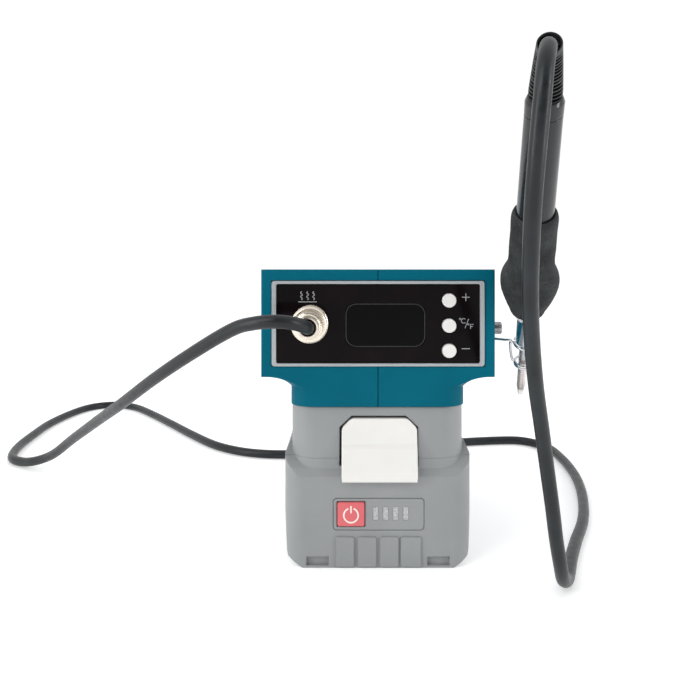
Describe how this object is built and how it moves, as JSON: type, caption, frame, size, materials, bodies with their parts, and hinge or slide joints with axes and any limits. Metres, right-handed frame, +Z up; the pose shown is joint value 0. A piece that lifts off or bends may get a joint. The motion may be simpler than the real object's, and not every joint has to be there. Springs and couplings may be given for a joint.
{
  "type": "battery soldering station",
  "caption": "Soldering station that clips on a slide-on tool battery: T-shaped housing with panel, corded iron leaning in a wire holder, plug, latch and buttons.",
  "frame": {"origin": "middle of the battery pack's base, on the table", "axes": "+X right, +Y from the front panel to the back, +Z up"},
  "size_m": [0.3549, 0.4036, 0.1952],
  "materials": {
    "teal_shell": "satin",
    "panel_silver": "satin silver paint",
    "black_gloss": "gloss",
    "dark_window": "gloss",
    "circuit_board": "solder mask",
    "black_plastic": "matt",
    "white_plastic": "satin",
    "nickel": "warm nickel plate",
    "steel": "bright",
    "contact_metal": "plain",
    "pack_grey": "fine texture",
    "red_button": "satin",
    "light_guide": "milky",
    "cell_sleeve": "shrink sleeve",
    "foam": "closed-cell foam",
    "handle_black": "gloss",
    "cord_rubber": "silicone cord",
    "tip_metal": "plated"
  },
  "bodies": {
    "station": {"housing_left": "teal_shell", "housing_right": "teal_shell", "housing_screws": "steel", "panel_frame": "panel_silver", "front_panel": "black_gloss", "display_lens": "dark_window", "display_module": "circuit_board", "control_board": "circuit_board", "tact_switches": "black_plastic", "board_standoffs": "contact_metal", "board_screws": "steel", "socket_body": "nickel", "socket_nut": "nickel", "socket_insert": "black_plastic", "socket_pins": "contact_metal", "terminal_block": "black_plastic", "terminal_blades": "contact_metal", "holder_screw": "steel", "holder_washer": "steel", "holder_wire": "steel", "plug_shell": "nickel", "plug_insert": "black_plastic", "plug_clamp": "nickel", "cord_lying": "cord_rubber"},
    "plug_ring": {"plug_ring": "nickel"},
    "button_plus": {"button_plus": "white_plastic"},
    "button_unit": {"button_unit": "white_plastic"},
    "button_minus": {"button_minus": "white_plastic"},
    "battery": {"battery_lower_case": "pack_grey", "battery_upper_case": "pack_grey", "battery_cells": "cell_sleeve", "cell_combs": "black_plastic", "cell_links": "steel", "battery_board": "circuit_board", "battery_contacts": "contact_metal", "gauge_plate": "pack_grey", "gauge_lights": "light_guide", "gauge_board": "circuit_board", "battery_screws": "steel", "latch_springs": "steel"},
    "battery_latch": {"battery_latch": "white_plastic"},
    "battery_button": {"battery_button": "red_button"},
    "iron": {"handle_shell": "handle_black", "handle_collar": "handle_black", "foam_grip": "foam", "nose_ferrule": "steel", "nose_sleeve": "steel", "strain_relief": "handle_black", "contact_carrier": "black_plastic", "cord_hanging": "cord_rubber"},
    "tip": {"tip_cartridge": "tip_metal"}
  },
  "joints": [
    {"name": "battery_slide", "type": "slide", "parent": "station", "child": "battery", "axis": [0, -1, 0], "range_m": [0, 0.085]},
    {"name": "latch_press", "type": "slide", "parent": "battery", "child": "battery_latch", "axis": [0, 0, -1], "range_m": [0, 0.004], "stiffness_N_per_m": 1500, "springref_m": -0.002, "deforming": ["latch_springs"]},
    {"name": "battery_button_press", "type": "slide", "parent": "battery", "child": "battery_button", "axis": [0, 1, 0], "range_m": [0, 0.0008], "stiffness_N_per_m": 2500, "springref_m": -0.0003},
    {"name": "button_plus_press", "type": "slide", "parent": "station", "child": "button_plus", "axis": [0, 1, 0], "range_m": [0, 0.0008], "stiffness_N_per_m": 2500, "springref_m": -0.0003},
    {"name": "button_unit_press", "type": "slide", "parent": "station", "child": "button_unit", "axis": [0, 1, 0], "range_m": [0, 0.0008], "stiffness_N_per_m": 2500, "springref_m": -0.0003},
    {"name": "button_minus_press", "type": "slide", "parent": "station", "child": "button_minus", "axis": [0, 1, 0], "range_m": [0, 0.0008], "stiffness_N_per_m": 2500, "springref_m": -0.0003},
    {"name": "plug_ring_turn", "type": "hinge", "parent": "station", "child": "plug_ring", "pos_m": [-0.0276, -0.0635, 0.1006], "axis": [0, -1, 0], "continuous": true},
    {"name": "iron_lift", "type": "slide", "parent": "station", "child": "iron", "axis": [-0.103, -0.6651, 0.7396], "range_m": [0, 0.07]},
    {"name": "tip_pull", "type": "slide", "parent": "iron", "child": "tip", "axis": [0.103, 0.6651, -0.7396], "range_m": [0, 0.075]}
  ]
}
